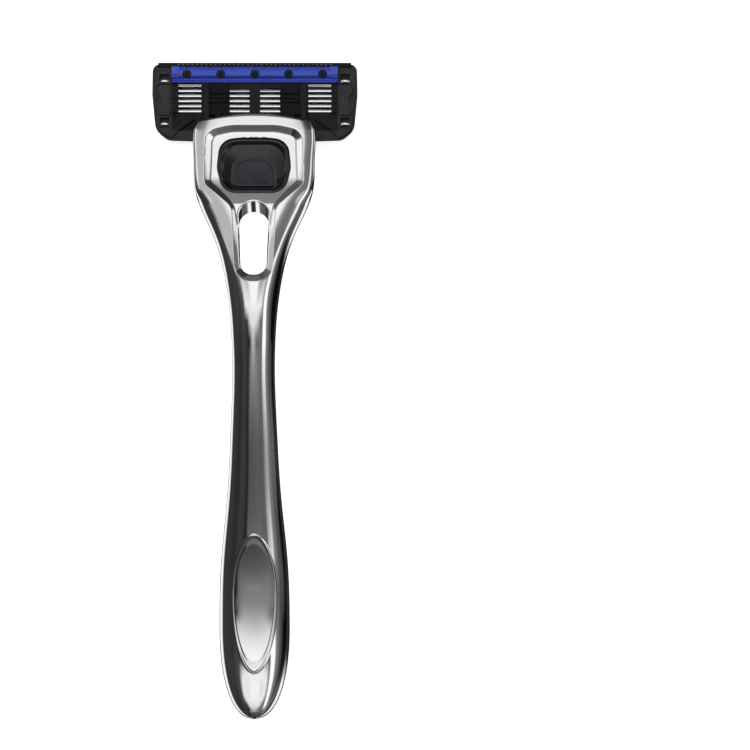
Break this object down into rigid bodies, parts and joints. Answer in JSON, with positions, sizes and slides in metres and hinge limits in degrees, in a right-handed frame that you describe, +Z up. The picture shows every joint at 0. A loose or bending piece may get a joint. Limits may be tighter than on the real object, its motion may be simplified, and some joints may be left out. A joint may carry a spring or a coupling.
{
  "type": "cartridge razor",
  "caption": "Cartridge razor with an arched chrome handle, thumb-button release and a pivoting multi-blade cartridge with a trimmer on its back.",
  "frame": {"origin": "middle of the footprint, on the surface that the razor lies on, blades down", "axes": "+Y from the handle's tail to the cartridge, +Z up out of the button side, +X to the right seen from above"},
  "size_m": [0.0432, 0.1378, 0.0244],
  "materials": {
    "chrome_casting": "bright polished plating",
    "black_plastic": "satin moulded",
    "button_plastic": "satin moulded",
    "housing_plastic": "satin moulded",
    "inner_plastic": "satin moulded",
    "blade_steel": "ground, hardened",
    "spring_steel": "drawn wire",
    "clip_aluminium": "bright",
    "fin_rubber": "matt",
    "strip": "waxy",
    "comb_plastic": "satin moulded",
    "blue_plastic": "glossy moulded",
    "stake_plastic": "heat-staked"
  },
  "bodies": {
    "handle": {"handle_body": "chrome_casting", "button_surround": "black_plastic", "docking_nose": "black_plastic", "plunger_spring": "spring_steel"},
    "button": {"release_button": "button_plastic", "ejector": "inner_plastic"},
    "plunger": {"plunger": "inner_plastic"},
    "connector": {"connector": "inner_plastic"},
    "blade_unit": {"cartridge_housing": "housing_plastic", "shaving_blade_1": "blade_steel", "shaving_blade_2": "blade_steel", "shaving_blade_3": "blade_steel", "shaving_blade_4": "blade_steel", "shaving_blade_5": "blade_steel", "shaving_blade_6": "blade_steel", "guard_fins": "fin_rubber", "lubricating_strip": "strip", "trimmer_comb": "comb_plastic", "trimmer_blade": "blade_steel", "trimmer_holder": "blue_plastic", "trimmer_rivets": "stake_plastic", "end_clip_left": "clip_aluminium", "end_clip_right": "clip_aluminium"}
  },
  "joints": [
    {"name": "button_slide", "type": "slide", "parent": "handle", "child": "button", "axis": [0, 0.9613, -0.2756], "range_m": [0, 0.002], "stiffness_N_per_m": 600, "springref_m": -0.0015, "deforming": ["plunger_spring"]},
    {"name": "cartridge_release", "type": "slide", "parent": "handle", "child": "connector", "axis": [0, 0.9613, -0.2756], "range_m": [0, 0.012]},
    {"name": "cartridge_pivot", "type": "hinge", "parent": "connector", "child": "blade_unit", "pos_m": [0, 0.055, 0.0036], "axis": [1, 0, 0], "range_deg": [0, 40], "stiffness_Nm_per_rad": 0.02, "springref_deg": -28.65},
    {"name": "plunger_slide", "type": "slide", "parent": "handle", "child": "plunger", "axis": [0, 0.9613, -0.2756], "range_m": [-0.0051, 0]}
  ],
  "couplings": [
    {"joint": "plunger_slide", "follows": "cartridge_pivot", "m_per_rad": -0.00725}
  ]
}
